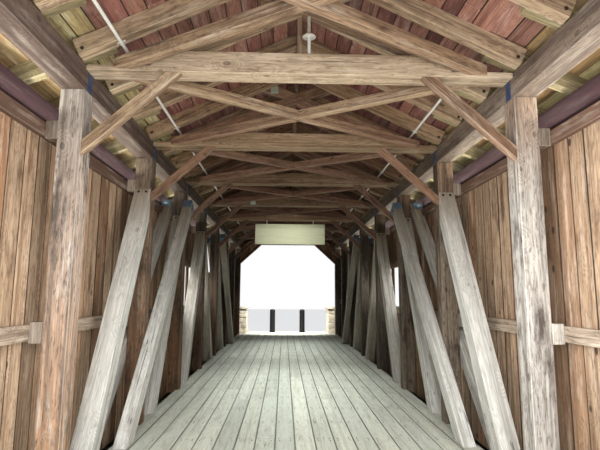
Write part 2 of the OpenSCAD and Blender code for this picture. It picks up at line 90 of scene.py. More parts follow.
def done():
    """Goes back to object mode, which writes the edit into the mesh."""
    bpy.ops.object.mode_set(mode="OBJECT")


def copy_of(node):
    """A merged copy of a solid, with its flat faces whole."""
    mesh = nodes[node].data.copy()
    mesh.materials.clear()
    piece = bpy.data.objects.new(node + "_copy", mesh)
    scene.collection.objects.link(piece)
    only(piece)
    if mesh.has_custom_normals:
        bpy.ops.mesh.customdata_custom_splitnormals_clear()
    edit()
    bpy.ops.mesh.remove_doubles(threshold=0.00005)
    bpy.ops.mesh.dissolve_limited(angle_limit=math.radians(0.5))
    done()
    return piece


def duplicate(piece):
    """A copy with its own mesh."""
    twin = piece.copy()
    twin.data = piece.data.copy()
    scene.collection.objects.link(twin)
    return twin


def join(pieces, name):
    """Makes the pieces one, under a new name."""
    only(*pieces)
    bpy.ops.object.join()
    piece = bpy.context.object
    piece.name = name
    piece.data.name = name
    return piece


def bevel(piece, width, segments=1):
    """Breaks the sharp edges."""
    only(piece)
    mod = piece.modifiers.new("edge", "BEVEL")
    mod.width = width
    mod.segments = segments
    mod.limit_method = "ANGLE"
    mod.angle_limit = math.radians(30)
    mod.use_clamp_overlap = True
    bpy.ops.object.modifier_apply(modifier=mod.name)


def islands(mesh):
    """Lists of the vertices that hang together."""
    link = list(range(len(mesh.vertices)))

    def root(a):
        while link[a] != a:
            link[a] = link[link[a]]
            a = link[a]
        return a

    for e in mesh.edges:
        a, b = root(e.vertices[0]), root(e.vertices[1])
        if a != b:
            link[a] = b
    groups = {}
    for v in range(len(link)):
        groups.setdefault(root(v), []).append(v)
    return list(groups.values())


def grain(piece, along=None, blend=None, through=1.0):
    """Gives each timber its own stretch of wood along its length, a shade, marked ends and worn arrises.

    along is the way the grain runs, or else each timber's longest edge gives it. blend gives the share of
    the second colour at a point. through below 1 lets knots run through a board."""
    mesh = piece.data
    mesh.attributes.new("grain", "FLOAT_VECTOR", "POINT")
    mesh.attributes.new("tint", "FLOAT", "POINT")
    mesh.attributes.new("span", "FLOAT", "POINT")
    mesh.attributes.new("blend", "FLOAT", "POINT")
    mesh.attributes.new("end", "FLOAT", "FACE")
    mesh.attributes.new("arris", "FLOAT", "FACE")
    grain_at, tint_at, span_at, blend_at = (mesh.attributes[n] for n in ("grain", "tint", "span", "blend"))
    end_at, arris_at = mesh.attributes["end"], mesh.attributes["arris"]
    groups = islands(mesh)
    mesh_long = max(piece.dimensions)
    owner = {}
    for g, group in enumerate(groups):
        for v in group:
            owner[v] = g
    longest = [(0.0, Vector((0, 0, 1)))] * len(groups)
    for e in mesh.edges:
        a, b = e.vertices
        run = mesh.vertices[b].co - mesh.vertices[a].co
        if run.length > longest[owner[a]][0]:
            longest[owner[a]] = (run.length, run.normalized())
    axes = []
    for g, group in enumerate(groups):
        d = Vector(along) if along else longest[g][1]
        side = d.cross(Vector((0, 0, 1)) if abs(d.z) < 0.9 else Vector((1, 0, 0))).normalized()
        flat = d.cross(side)
        start = Vector((rng.uniform(0, 40), rng.uniform(0, 40), rng.uniform(0, 40)))
        centre = sum((mesh.vertices[v].co for v in group), Vector()) / len(group)
        shade = rng.random()
        share = min(max((shade - 0.35) / 0.6, 0.0), 1.0)
        share *= share * (3 - 2 * share)
        axes.append((d, side, flat))
        wide = 0.0
        for axis in (side, flat):
            reach = max(abs((mesh.vertices[v].co - centre).dot(axis)) for v in group)
            if reach > wide:
                wide, wide_axis = reach, axis
        for v in group:
            co = mesh.vertices[v].co - centre
            grain_at.data[v].vector = Vector((co.dot(side), co.dot(flat) * through, co.dot(d))) + start
            tint_at.data[v].value = shade
            blend_at.data[v].value = blend(mesh.vertices[v].co) if blend else share
            span_at.data[v].value = co.dot(wide_axis) / wide
    # An end looks along the grain, and an arris is a narrow face between two sides
    arris_area = 0.02 * mesh_long
    for p in mesh.polygons:
        facing = [abs(p.normal.dot(axis)) for axis in axes[owner[p.vertices[0]]]]
        end_at.data[p.index].value = 1.0 if facing[0] > 0.8 else 0.0
        arris_at.data[p.index].value = 1.0 if max(facing) < 0.85 and p.area < arris_area else 0.0


def finish_piece(piece, name, material, slot, *replaced):
    """Puts a piece on the bridge's body, with its finish and the solids that it stands for."""
    piece.name = name
    piece.data.name = name
    piece.data.materials.clear()
    piece.data.materials.append(material)
    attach(piece, "root")
    if replaced:
        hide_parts(*replaced)


def timbers(node, material, slot, edge=0.005, blend=None):
    """Squared timbers: the solids of a node with worn edges and their own grain."""
    piece = copy_of(node)
    bevel(piece, edge)
    bpy.ops.object.shade_flat()
    grain(piece, blend=blend)
    finish_piece(piece, node + "_wood", material, slot, node)


def strip(source, cuts):
    """The part of a solid between planes. Each cut is a point on a plane and the side that stays."""
    part = duplicate(source)
    only(part)
    for point, keep in cuts:
        edit()
        bpy.ops.mesh.bisect(plane_co=point, plane_no=keep, use_fill=True, clear_inner=True, clear_outer=False)
        done()
        if not part.data.vertices:
            break
    return part


def board_edges(low, high, wide, spread):
    """Edges of boards of uneven width from low to high."""
    edges = [low]
    while edges[-1] < high - wide * 0.5:
        edges.append(edges[-1] + wide * rng.uniform(1 - spread, 1 + spread))
    scale = (high - low) / (edges[-1] - low)
    return [low + (e - low) * scale for e in edges]


def sawn(source, across, edges, along=None, lengths=(3.0, 5.0), thick=None, loose=0.0, shrink=0.0):
    """Cuts a plate into boards across one direction, and each board into lengths along another.

    thick is (direction, level of the back face, play): each board is a little thinner than the plate.
    loose is the share of boards that shrink, which leaves a gap at one edge."""
    across = Vector(across)
    parts = []
    for a, b in zip(edges, edges[1:]):
        gap = shrink if rng.random() < loose else 0.0
        board = strip(source, [(across * (a + gap), across), (across * b, -across)])
        if not board.data.vertices:
            bpy.data.objects.remove(board)
            continue
        pieces = [board]
        if along:
            direction, low, high = Vector(along[0]), along[1], along[2]
            stops = [low + rng.uniform(0.2, 1.0) * lengths[0]]
            while stops[-1] < high - lengths[0] * 0.5:
                stops.append(stops[-1] + rng.uniform(*lengths))
            stops = [s for s in stops if s < high - 0.4]
            pieces = []
            for s0, s1 in zip([low - 1] + stops, stops + [high + 1]):
                piece = strip(board, [(direction * s0, direction), (direction * s1, -direction)])
                if piece.data.vertices:
                    pieces.append(piece)
                else:
                    bpy.data.objects.remove(piece)
            bpy.data.objects.remove(board)
        for piece in pieces:
            if thick:
                direction, level, play = Vector(thick[0]), thick[1], thick[2]
                drop = rng.uniform(0, play)
                for v in piece.data.vertices:
                    over = v.co.dot(direction) - level
                    if over > play * 1.5:
                        v.co -= direction * drop
            parts.append(piece)
    return parts


# Materials
def group(name, **inputs):
    """A node group for a finish. An input without a value is a vector, one with four values is a colour."""
    tree = bpy.data.node_groups.new(name, "ShaderNodeTree")
    for label, value in inputs.items():
        kind = "Vector" if value is None else "Color" if isinstance(value, tuple) else "Float"
        socket = tree.interface.new_socket(name=label, in_out="INPUT", socket_type="NodeSocket" + kind)
        if value is not None:
            socket.default_value = value
    for label, kind in (("Color", "Color"), ("Roughness", "Float"), ("Height", "Float")):
        tree.interface.new_socket(name=label, in_out="OUTPUT", socket_type="NodeSocket" + kind)
    return Wires(tree), tree.nodes.new("NodeGroupInput").outputs, tree.nodes.new("NodeGroupOutput").inputs


class Wires:
    """Short words for placing and joining shader nodes."""

    def __init__(self, tree):
        self.tree = tree

    def put(self, socket, value):
        if isinstance(value, bpy.types.NodeSocket):
            self.tree.links.new(value, socket)
        elif value is not None:
            socket.default_value = value

    def node(self, kind, **settings):
        made = self.tree.nodes.new(kind)
        for key, value in settings.items():
            setattr(made, key, value)
        return made

    def math(self, operation, a, b=None, c=None, clamp=False):
        made = self.node("ShaderNodeMath", operation=operation, use_clamp=clamp)
        for socket, value in zip(made.inputs, (a, b, c)):
            self.put(socket, value)
        return made.outputs[0]

    def times(self, a, b):
        return self.math("MULTIPLY", a, b)

    def wave(self, value):
        """A sine from 0 to 1."""
        return self.math("MULTIPLY_ADD", self.math("SINE", value), 0.5, 0.5)

    def stretch(self, vector, scale):
        made = self.node("ShaderNodeVectorMath", operation="MULTIPLY")
        self.put(made.inputs[0], vector)
        made.inputs[1].default_value = scale
        return made.outputs[0]

    def scaled(self, vector, factor):
        """A vector or colour times one value."""
        made = self.node("ShaderNodeVectorMath", operation="SCALE")
        self.put(made.inputs[0], vector)
        self.put(made.inputs["Scale"], factor)
        return made.outputs[0]

    def noise(self, vector, scale=1.0, detail=4.0, rough=0.55, distortion=0.0):
        made = self.node("ShaderNodeTexNoise")
        self.put(made.inputs["Vector"], vector)
        made.inputs["Scale"].default_value = scale
        made.inputs["Detail"].default_value = detail
        made.inputs["Roughness"].default_value = rough
        made.inputs["Distortion"].default_value = distortion
        return made.outputs["Fac"]

    def cells(self, vector, scale=1.0):
        made = self.node("ShaderNodeTexVoronoi")
        self.put(made.inputs["Vector"], vector)
        made.inputs["Scale"].default_value = scale
        return made.outputs["Distance"]

    def ramp(self, value, low, high, to_low=0.0, to_high=1.0):
        made = self.node("ShaderNodeMapRange", interpolation_type="SMOOTHSTEP", clamp=True)
        for socket, v in zip(made.inputs, (value, low, high, to_low, to_high)):
            self.put(socket, v)
        return made.outputs[0]

    def mix(self, factor, a, b, blend="MIX"):
        made = self.node("ShaderNodeMix", data_type="RGBA", blend_type=blend)
        self.put(made.inputs["Factor"], factor)
        self.put(made.inputs["A"], a)
        self.put(made.inputs["B"], b)
        return made.outputs["Result"]

    def attribute(self, name):
        return self.node("ShaderNodeAttribute", attribute_name=name)


def wood_group():
    """Sawn timber: streaks, contour grain, knots, drying cracks and weathering, and painted shade along the
    edges of boards.
    """
    w, given, out = group(
        "sawn_timber", Vector=None, Tint=0.5, End=0.0, Light=(0.5, 0.4, 0.3, 1), Dark=(0.3, 0.2, 0.15, 1),
        Other=(0.5, 0.4, 0.3, 1), Vary=0.3, Knots=0.5, Cracks=0.5, Streaks=0.5, Stains=0.5, Arris=0.0,
        Span=0.0, Seams=0.0, Blend=0.0, Shade=(1, 1, 1, 1))
    vector, dark, streaks, stains = (given[n] for n in ("Vector", "Dark", "Streaks", "Stains"))
    # Knots sit far apart along the grain and push it aside
    knot_cell = w.cells(w.stretch(vector, (4.2, 4.2, 2.6)))
    knot = w.times(w.ramp(knot_cell, 0.115, 0.065), given["Knots"])
    drip_cell = w.cells(w.stretch(vector, (5.0, 5.0, 0.5)))
    drip = w.times(w.ramp(drip_cell, 0.24, 0.02), given["Knots"])
    push = w.times(w.ramp(knot_cell, 0.45, 0.0), 0.35)
    broad = w.noise(w.stretch(vector, (5.0, 5.0, 0.55)), 1.0, 3.0, 0.5, 0.4)
    contour = w.wave(w.times(w.math("ADD", broad, push), 75.0))
    # Patterns from fine to broad, each drawn out along the grain
    fine = w.noise(w.stretch(vector, (90.0, 90.0, 3.0)), 1.0, 4.0, 0.6)
    band = w.noise(w.stretch(vector, (15.0, 15.0, 0.35)), 1.0, 4.0, 0.65)
    stain = w.noise(w.stretch(vector, (4.5, 4.5, 1.3)), 1.0, 6.0, 0.7)
    grit = w.noise(w.stretch(vector, (48.0, 48.0, 9.0)), 1.0, 5.0, 0.7)
    bleach = w.noise(w.stretch(vector, (9.0, 9.0, 1.1)), 1.3, 5.0, 0.65)
    # Long thin cracks follow the grain
    crack_field = w.noise(w.stretch(vector, (16.0, 16.0, 0.42)), 1.0, 2.0, 0.5)
    crack_line = w.ramp(w.math("ABSOLUTE", w.math("SUBTRACT", crack_field, 0.5)), 0.010, 0.002)
    crack_zone = w.ramp(w.noise(w.stretch(vector, (4.0, 4.0, 0.7)), 1.0, 1.0), 0.48, 0.60)
    crack = w.times(w.times(crack_line, crack_zone), given["Cracks"])
    # Colour: light wood with dark grain, then weathering, knots and cracks over it
    base = w.mix(given["Blend"], given["Light"], given["Other"])
    lines = w.math("ADD", w.times(contour, 0.45), w.times(w.ramp(fine, 0.35, 0.7), 0.55))
    color = w.mix(w.times(streaks, lines), base, dark)
    deep = w.mix(0.45, dark, (0.03, 0.02, 0.015, 1))
    pale = w.mix(0.45, given["Light"], (0.80, 0.76, 0.68, 1))
    color = w.mix(w.times(w.ramp(bleach, 0.50, 0.68), w.times(stains, 0.7)), color, pale)
    color = w.mix(w.times(w.ramp(band, 0.48, 0.64), streaks), color, dark)
    color = w.mix(w.times(w.ramp(stain, 0.50, 0.70), stains), color, dark)
    color = w.mix(w.times(w.ramp(stain, 0.60, 0.72), w.times(stains, 0.6)), color, deep)
    color = w.mix(w.times(w.ramp(grit, 0.50, 0.66), w.times(stains, 0.75)), color, dark)
    color = w.mix(w.times(drip, 0.45), color, deep)
    # Painted shade: a near-black band along each board's edges stands for the shade in the gaps between
    # boards, partly also dirt there
    seam_shade = w.ramp(w.math("ABSOLUTE", given["Span"]), 0.88, 0.99)
    color = w.mix(w.times(seam_shade, given["Seams"]), color, (0.02, 0.014, 0.012, 1))
    color = w.mix(w.times(given["Arris"], 0.2), color, pale)
    color = w.mix(w.times(knot, 0.85), color, (0.035, 0.022, 0.014, 1))
    color = w.mix(w.times(crack, 0.9), color, (0.02, 0.016, 0.012, 1))
    # End grain shows rings
    rings = w.wave(w.times(w.noise(vector, 6.0, 1.0), 60.0))
    end_color = w.mix(w.times(rings, 0.5), given["Light"], dark)
    color = w.mix(w.times(given["End"], 0.8), color, end_color)
    # Each timber is a little lighter or darker than the next
    swing = w.math("SUBTRACT", w.math("FRACT", w.times(given["Tint"], 7.31)), 0.5)
    bright = w.math("MULTIPLY_ADD", swing, given["Vary"], 1.0)
    w.put(out["Color"], w.scaled(w.mix(1.0, color, given["Shade"], "MULTIPLY"), bright))
    w.put(out["Roughness"], w.ramp(fine, 0.3, 0.7, 0.68, 0.86))
    height = w.math("ADD", w.times(fine, 0.5), w.times(contour, 0.18))
    height = w.math("SUBTRACT", height, w.times(crack, 1.6))
    w.put(out["Height"], w.math("SUBTRACT", height, w.times(knot, 0.4)))
    return w.tree


def stone_group():
    """Rough cut stone: mottled colour, pits and a hewn face."""
    w, given, out = group(
        "hewn_stone", Vector=None, Tint=0.5, Light=(0.6, 0.5, 0.4, 1), Dark=(0.4, 0.3, 0.25, 1),
        Grey=(0.4, 0.4, 0.38, 1))
    vector = given["Vector"]
    broad = w.noise(vector, 2.2, 5.0, 0.6)
    grit = w.noise(vector, 60.0, 4.0, 0.7)
    lumps = w.noise(vector, 9.0, 5.0, 0.6)
    pits = w.ramp(w.cells(vector, 26.0), 0.20, 0.05)
    base = w.mix(w.ramp(given["Tint"], 0.3, 0.9), given["Light"], given["Grey"])
    color = w.mix(w.ramp(broad, 0.4, 0.7, 0.0, 0.55), base, given["Dark"])
    color = w.mix(w.ramp(grit, 0.5, 0.72, 0.0, 0.35), color, given["Dark"])
    w.put(out["Color"], w.mix(w.times(pits, 0.35), color, (0.12, 0.10, 0.08, 1)))
    w.put(out["Roughness"], w.ramp(grit, 0.3, 0.7, 0.78, 0.95))
    height = w.math("ADD", lumps, w.times(grit, 0.25))
    w.put(out["Height"], w.math("SUBTRACT", height, w.times(pits, 0.5)))
    return w.tree


def wear_group():
    """Smooth finishes: a base colour that dulls in patches and specks."""
    w, given, out = group(
        "worn_finish", Vector=None, Base=(0.5, 0.5, 0.5, 1), Worn=(0.4, 0.4, 0.4, 1), Amount=0.4, Gloss=0.4,
        Scale=1.0)
    vector = w.scaled(given["Vector"], given["Scale"])
    patches = w.noise(vector, 7.0, 6.0, 0.65)
    specks = w.noise(vector, 70.0, 3.0, 0.6)
    worn = w.times(w.ramp(patches, 0.45, 0.68), given["Amount"])
    speckled = w.times(w.ramp(specks, 0.56, 0.7), w.times(given["Amount"], 0.6))
    color = w.mix(worn, given["Base"], given["Worn"])
    w.put(out["Color"], w.mix(speckled, color, given["Worn"]))
    w.put(out["Roughness"], w.math("ADD", given["Gloss"], w.times(worn, 0.35), clamp=True))
    w.put(out["Height"], w.math("ADD", w.times(specks, 0.3), w.times(patches, 0.4)))
    return w.tree


# Where along the bridge the wood darkens a second time, in painted shade for the dim middle
MIDDLE_SHADE_SPAN = (-4.4, 0.4)
SAWN = wood_group()
HEWN = stone_group()
WORN = wear_group()


def new_material(name):
    """A new material, its wires and its shader."""
    made = bpy.data.materials.new(name)
    made.use_nodes = True
    tree = made.node_tree
    shader = tree.nodes["Principled BSDF"]
    return made, Wires(tree), shader


def use_group(w, tree, shader, bump, distance, **values):
    """Places a group in a material and joins it to the shader, with its height as a bump."""
    used = w.node("ShaderNodeGroup", node_tree=tree)
    for key, value in values.items():
        w.put(used.inputs[key], value)
    w.put(shader.inputs["Base Color"], used.outputs["Color"])
    w.put(shader.inputs["Roughness"], used.outputs["Roughness"])
    ridge = w.node("ShaderNodeBump")
    ridge.inputs["Strength"].default_value = bump
    ridge.inputs["Distance"].default_value = distance
    w.put(ridge.inputs["Height"], used.outputs["Height"])
    w.put(shader.inputs["Normal"], ridge.outputs["Normal"])


def tone(r, g, b):
    """A colour given as it is seen, 0 to 255."""
    def straight(c):
        c /= 255
        return c / 12.92 if c <= 0.04045 else ((c + 0.055) / 1.055) ** 2.4
    return (straight(r), straight(g), straight(b), 1)


def wood(name, light, dark, other=None, vary=0.3, knots=0.6, cracks=0.6, streaks=0.6, stains=0.6, bump=0.5,
         shaded_seams=0.0, deep=(1, 1, 1), reach=(-5.9, -4.6), middle_shade=None):
    """deep is a tone of painted shade that darkens the wood away from the near portal, in part also wood that
    no rain or sun bleaches; reach is where it sets in.

    The second tone is more painted shade, for the wood from the middle on."""
    made, w, shader = new_material(name)
    place = w.node("ShaderNodeSeparateXYZ")
    w.put(place.inputs[0], w.node("ShaderNodeTexCoord").outputs["Object"])
    # Painted shade: the wood darkens with distance from the near portal, and again from the middle on
    shade = w.mix(w.ramp(place.outputs["Y"], *reach), (1, 1, 1, 1), (*deep, 1))
    if middle_shade:
        middle_shade_tone = w.mix(w.ramp(place.outputs["Y"], *MIDDLE_SHADE_SPAN), (1, 1, 1, 1), (*middle_shade, 1))
        shade = w.mix(1.0, shade, middle_shade_tone, "MULTIPLY")
    labels = ("Tint", "End", "Arris", "Span", "Blend")
    marks = {label: w.attribute(label.lower()).outputs["Fac"] for label in labels}
    use_group(w, SAWN, shader, bump, 0.004, Vector=w.attribute("grain").outputs["Vector"], Light=tone(*light),
              Dark=tone(*dark), Other=tone(*(other or light)), Vary=vary, Knots=knots, Cracks=cracks,
              Streaks=streaks, Stains=stains, Seams=shaded_seams, Shade=shade, **marks)
    shader.inputs["Specular IOR Level"].default_value = 0.25
    return made


def stone(name, light, dark, grey):
    made, w, shader = new_material(name)
    use_group(w, HEWN, shader, 0.7, 0.012,
              Vector=w.attribute("grain").outputs["Vector"], Tint=w.attribute("tint").outputs["Fac"],
              Light=tone(*light), Dark=tone(*dark), Grey=tone(*grey))
    shader.inputs["Specular IOR Level"].default_value = 0.3
    return made


def finish(name, base, worn, amount=0.4, gloss=0.45, metallic=0.0, scale=1.0, bump=0.2):
    made, w, shader = new_material(name)
    use_group(w, WORN, shader, bump, 0.002,
              Vector=w.node("ShaderNodeTexCoord").outputs["Object"], Base=tone(*base), Worn=tone(*worn),
              Amount=amount, Gloss=gloss, Scale=scale)
    shader.inputs["Metallic"].default_value = metallic
    return made


# The deep and second tones of these woods are painted shade for the dim inside of the bridge
post_wood = wood("post_timber", (190, 187, 181), (86, 77, 71), other=(196, 148, 106), vary=0.15, stains=1.0,
                 deep=(0.50, 0.42, 0.35), reach=(-5.9, -4.9), middle_shade=(0.32, 0.32, 0.30))
pale_wood = wood("pale_timber", (214, 216, 212), (138, 134, 128), other=(150, 132, 100), vary=0.2,
                 knots=0.4, cracks=0.9, stains=0.45, deep=(0.58, 0.53, 0.45), reach=(-3.6, 1.0))
block_wood = wood("block_timber", (150, 132, 114), (84, 70, 58), other=(222, 220, 214), vary=0.2)
grey_wood = wood("grey_timber", (152, 140, 120), (84, 72, 60), other=(136, 130, 104), cracks=1.0)
girt_wood = wood("girt_timber", (186, 172, 154), (92, 72, 60), other=(112, 86, 74), cracks=1.0, vary=0.2)
chord_wood = wood("chord_timber", (108, 90, 82), (64, 52, 48), other=(158, 142, 126), vary=0.1, cracks=0.9,
                  deep=(0.8, 0.78, 0.74), middle_shade=(0.55, 0.55, 0.5))
tan_wood = wood("tan_timber", (228, 208, 180), (124, 102, 80), other=(208, 186, 158), vary=0.3, stains=0.8,
                deep=(0.50, 0.44, 0.38), middle_shade=(0.62, 0.56, 0.52))
brace_wood = wood("brace_timber", (184, 160, 130), (92, 70, 56), other=(160, 128, 104), vary=0.3, stains=0.8,
                  deep=(0.66, 0.54, 0.54), middle_shade=(0.55, 0.5, 0.46))
rafter_wood = wood("rafter_timber", (208, 184, 152), (98, 76, 62), other=(178, 148, 120), stains=0.8,
                   deep=(0.70, 0.62, 0.56), middle_shade=(0.5, 0.46, 0.42))
# Painted light: the olive tone of the rafter tails, which reach outside the walls, stands for the daylight
# from outside
daylit_tail_wood = wood("tail_timber", (174, 162, 124), (100, 88, 64), other=(152, 138, 104))
deck_wood = wood("deck_planks", (198, 202, 190), (146, 146, 132), other=(184, 190, 180), vary=0.16,
                 knots=0.25, cracks=0.5, streaks=0.4, stains=0.4, bump=0.35, shaded_seams=0.7)
siding_wood = wood("siding_boards", (214, 186, 156), (104, 78, 58), other=(158, 122, 94), vary=0.6,
                   knots=1.0, stains=0.8, shaded_seams=1.0, deep=(0.82, 0.74, 0.64), reach=(-4.6, -1.6),
                   middle_shade=(0.6, 0.56, 0.5))
roof_wood = wood("roof_boards", (168, 124, 108), (96, 62, 56), other=(142, 96, 88), vary=0.5, knots=0.7,
                 shaded_seams=1.0, deep=(0.80, 0.70, 0.74), middle_shade=(0.5, 0.46, 0.46))
# Painted light: the roof boards over the eaves are the same boards as inside, in a paler olive tone for the
# daylight from outside
daylit_eave_roof_wood = wood("daylit_eave_roof_boards", (184, 174, 128), (110, 92, 60), other=(168, 132, 92), vary=0.35,
                      knots=0.7, shaded_seams=0.9, middle_shade=(0.6, 0.6, 0.55))
shingle_wood = wood("shingle_wood", (148, 140, 126), (86, 78, 68), other=(124, 112, 98), vary=0.5,
                    knots=0.0, cracks=0.4)
# The eave and frieze boards are dark red paint, made darker still by painted shade, as they are seen against
# the light from outside
eave_paint_and_shade_wood = wood("eave_paint", (50, 30, 35), (32, 20, 25), vary=0.15, knots=0.1, cracks=0.3, streaks=0.3,
                 stains=0.08)
sign_wood = wood("sign_paint", (214, 215, 182), (184, 186, 154), vary=0.0, knots=0.0, cracks=0.2,
                 streaks=0.2, stains=0.15, bump=0.15)
stone_mat = stone("stone", (206, 197, 178), (150, 135, 114), (186, 182, 172))
mortar = finish("mortar", (160, 150, 132), (120, 112, 98), amount=0.6, gloss=0.9, bump=0.6)
black_iron = finish("bollard_iron", (8, 8, 9), (20, 19, 18), amount=0.3, gloss=0.62, bump=0.25)
black_iron.node_tree.nodes["Principled BSDF"].inputs["Specular IOR Level"].default_value = 0.12
pale_steel = finish("pale_steel", (96, 122, 144), (158, 166, 170), amount=0.5, gloss=0.5, metallic=0.3,
                    scale=2.0)
blue_steel = finish("blue_steel", (44, 64, 102), (92, 92, 96), amount=0.5, gloss=0.45, scale=3.0)
pipe_white = finish("pipe_plastic", (222, 222, 216), (190, 188, 178), amount=0.35, gloss=0.5, scale=2.0,
                    bump=0.05)
bolt_steel = finish("bolt_steel", (52, 48, 46), (96, 74, 56), amount=0.6, gloss=0.5, metallic=0.6, scale=6.0)
box_finish = finish("box_finish", (158, 168, 152), (128, 132, 118), gloss=0.5, scale=3.0, bump=0.1)


# Timber frame
def post_tan_and_head_shade(co):
    """The left posts are tan at the foot and grey above; the right ones are tan at the head, where the darker
    tan is painted shade.
    """
    above = co.z - DECK
    return max(0.0, min(1.0, 1.25 - above / 2.9)) if co.x < 0 else (above - 2.4) / 1.6


def shaded_brown_head(co):
    """Diagonals are pale below and brown at the head; the darker head is painted shade, above the reach of
    the light through the windows.
    """
    return (co.z - DECK - 2.3) / 0.8


BETWEEN_GIRTS = DECK + 2
for node in ("bed_timbers", "bottom_chords", "floor_beams"):
    timbers(node, grey_wood, "grey_timber")
timbers("posts", post_wood, "post_timber", 0.006, post_tan_and_head_shade)
for node in ("diagonals", "long_diagonals"):
    timbers(node, pale_wood, "pale_timber", 0.006, shaded_brown_head)
timbers("top_chords", chord_wood, "grey_timber", 0.006, lambda co: 0.75 if co.x > 0 else 0.1)
timbers("tie_beams", tan_wood, "tan_timber")
for node, edge in (("knee_braces", 0.005), ("lateral_braces_a", 0.004), ("lateral_braces_b", 0.004),
                   ("scissors_right", 0.005), ("scissors_left", 0.005), ("king_posts", 0.003)):
    timbers(node, brace_wood, "tan_timber", edge)
timbers("ridge_board", grey_wood, "grey_timber", 0.003)
timbers("rafters", rafter_wood, "rafter_timber", 0.004)
timbers("rafter_tails", daylit_tail_wood, "tail_timber", 0.004)
# Painted light: the girt blocks on the right below the upper girts take the pale second colour, where light
# through the windows falls
timbers("girt_blocks", block_wood, "pale_timber", 0.004,
        lambda co: 1.0 if co.x > 0 and co.z < BETWEEN_GIRTS else 0.25)
# Painted shade: the upper girts take the darker second colour, the middle girts below them the lighter first
timbers("girts", girt_wood, "grey_timber", 0.003, lambda co: 1.0 if co.z > BETWEEN_GIRTS else 0.1)
timbers("window_rails", girt_wood, "grey_timber", 0.003)
for node in ("eave_boards", "frieze_boards"):
    timbers(node, eave_paint_and_shade_wood, "eave_paint", 0.004)
timbers("sign_board", sign_wood, "sign_paint", 0.003)

# Boards
DECK_PLANK = 0.22
CROSS_BOARD = 0.19
SIDING_BOARD = 0.23
ROOF_BOARD = 0.17
PLANK_T = 0.04
PLANK_EDGE = POST_IN + 0.05
SHRINK = 0.004
PLAY = 0.004
NAIL_IN = 0.045
LENGTHWISE, ACROSS, UP = Vector((0, 1, 0)), Vector((1, 0, 0)), Vector((0, 0, 1))
# Where the boards over the eaves begin, whose paler olive tone is painted daylight from outside, on the left
# and on the right
EAVE_FROM = {-1: 1.72, 1: 1.88}


def boards(name, parts, material, slot, edge, wood_runs, *replaced):
    """Joins sawn boards into one piece, with worn edges and their grain along one direction."""
    piece = join(parts, name)
    bevel(piece, edge)
    bpy.ops.object.shade_flat()
    grain(piece, wood_runs, through=0.2)
    finish_piece(piece, name, material, slot, *replaced)


def boarded(node, name, material, slot, edge, wood_runs, **how):
    """Saws a whole solid into boards that stand for it."""
    source = copy_of(node)
    parts = sawn(source, **how)
    bpy.data.objects.remove(source)
    boards(name, parts, material, slot, edge, wood_runs, node)


# Lengthwise planks over cross boards
low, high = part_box("deck")
plank_bed = DECK - PLANK_T
deck = copy_of("deck")
planks = strip(deck, [(UP * plank_bed, UP)])
cross_boards = strip(deck, [(UP * plank_bed, -UP)])
deck_edges = board_edges(-PLANK_EDGE, PLANK_EDGE, DECK_PLANK, 0.03)
nail_lines = [edge + side for edge in deck_edges for side in (-NAIL_IN, NAIL_IN)]
boards("deck_planking",
       sawn(planks, ACROSS, deck_edges, along=(LENGTHWISE, low.y, high.y), lengths=(3.6, 5.4),
            thick=(UP, plank_bed, PLAY), loose=1.0, shrink=SHRINK),
       deck_wood, "deck_planks", 0.003, LENGTHWISE, "deck")
cross_edges = board_edges(low.y, high.y, CROSS_BOARD, 0.1)
boards("deck_cross_boards", sawn(cross_boards, LENGTHWISE, cross_edges, loose=1.0, shrink=SHRINK),
       grey_wood, "deck_planks", 0.003, ACROSS)
for part in (deck, planks, cross_boards):
    bpy.data.objects.remove(part)

for side, node in ((1, "siding_right"), (-1, "siding_left")):
    low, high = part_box(node)
    outside = max(abs(low.x), abs(high.x))
    boarded(node, node + "_boards", siding_wood, "siding_boards", 0.004, UP,
            across=LENGTHWISE, edges=board_edges(low.y, high.y, SIDING_BOARD, 0.18),
            thick=(-side * ACROSS, -outside, PLAY), loose=0.12, shrink=0.006)

for side, node in ((-1, "gable_near"), (1, "gable_far")):
    low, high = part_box(node)
    inside = min(abs(low.y), abs(high.y))
    boarded(node, node + "_boards", siding_wood, "siding_boards", 0.004, UP,
            across=ACROSS, edges=board_edges(low.x, high.x, SIDING_BOARD, 0.12),
            thick=(side * LENGTHWISE, inside, PLAY))


def roof_z(x):
    """Underside of the roof boards: the rafters' slope, then the flatter slope of the tails."""
    x = abs(x)
    return DECK + RAFTER_TOP - RAFTER_SLOPE * min(x, KICK_X) - TAIL_SLOPE * max(x - KICK_X, 0)


# The roof boards run along the bridge, so each slope is cut across its own direction
inner_parts, outer_parts = [], []
whole = copy_of("roof_boards")
eave_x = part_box("roof_boards")[1].x
for side in (1, -1):
    for slope, x0, x1 in ((RAFTER_SLOPE, 0.0, KICK_X), (TAIL_SLOPE, KICK_X, eave_x)):
        down = Vector((side, 0, -slope)).normalized()
        half = strip(whole, [(side * x0 * ACROSS, side * ACROSS), (side * x1 * ACROSS, -side * ACROSS)])
        start, end = (down.dot(Vector((side * x, 0, roof_z(x)))) for x in (x0, x1))
        slope_edges = board_edges(start - 0.012, end + 0.012, ROOF_BOARD, 0.12)
        cut = sawn(half, down, slope_edges, along=(LENGTHWISE, -ROOF_Y, ROOF_Y), loose=1.0, shrink=SHRINK)
        for part in cut:
            middle = sum(abs(v.co.x) for v in part.data.vertices) / len(part.data.vertices)
            (outer_parts if middle > EAVE_FROM[side] else inner_parts).append(part)
        bpy.data.objects.remove(half)
bpy.data.objects.remove(whole)
boards("roof_boarding", inner_parts, roof_wood, "roof_boards", 0.003, LENGTHWISE, "roof_boards")
boards("eave_boarding", outer_parts, daylit_eave_roof_wood, "roof_boards", 0.003, LENGTHWISE)

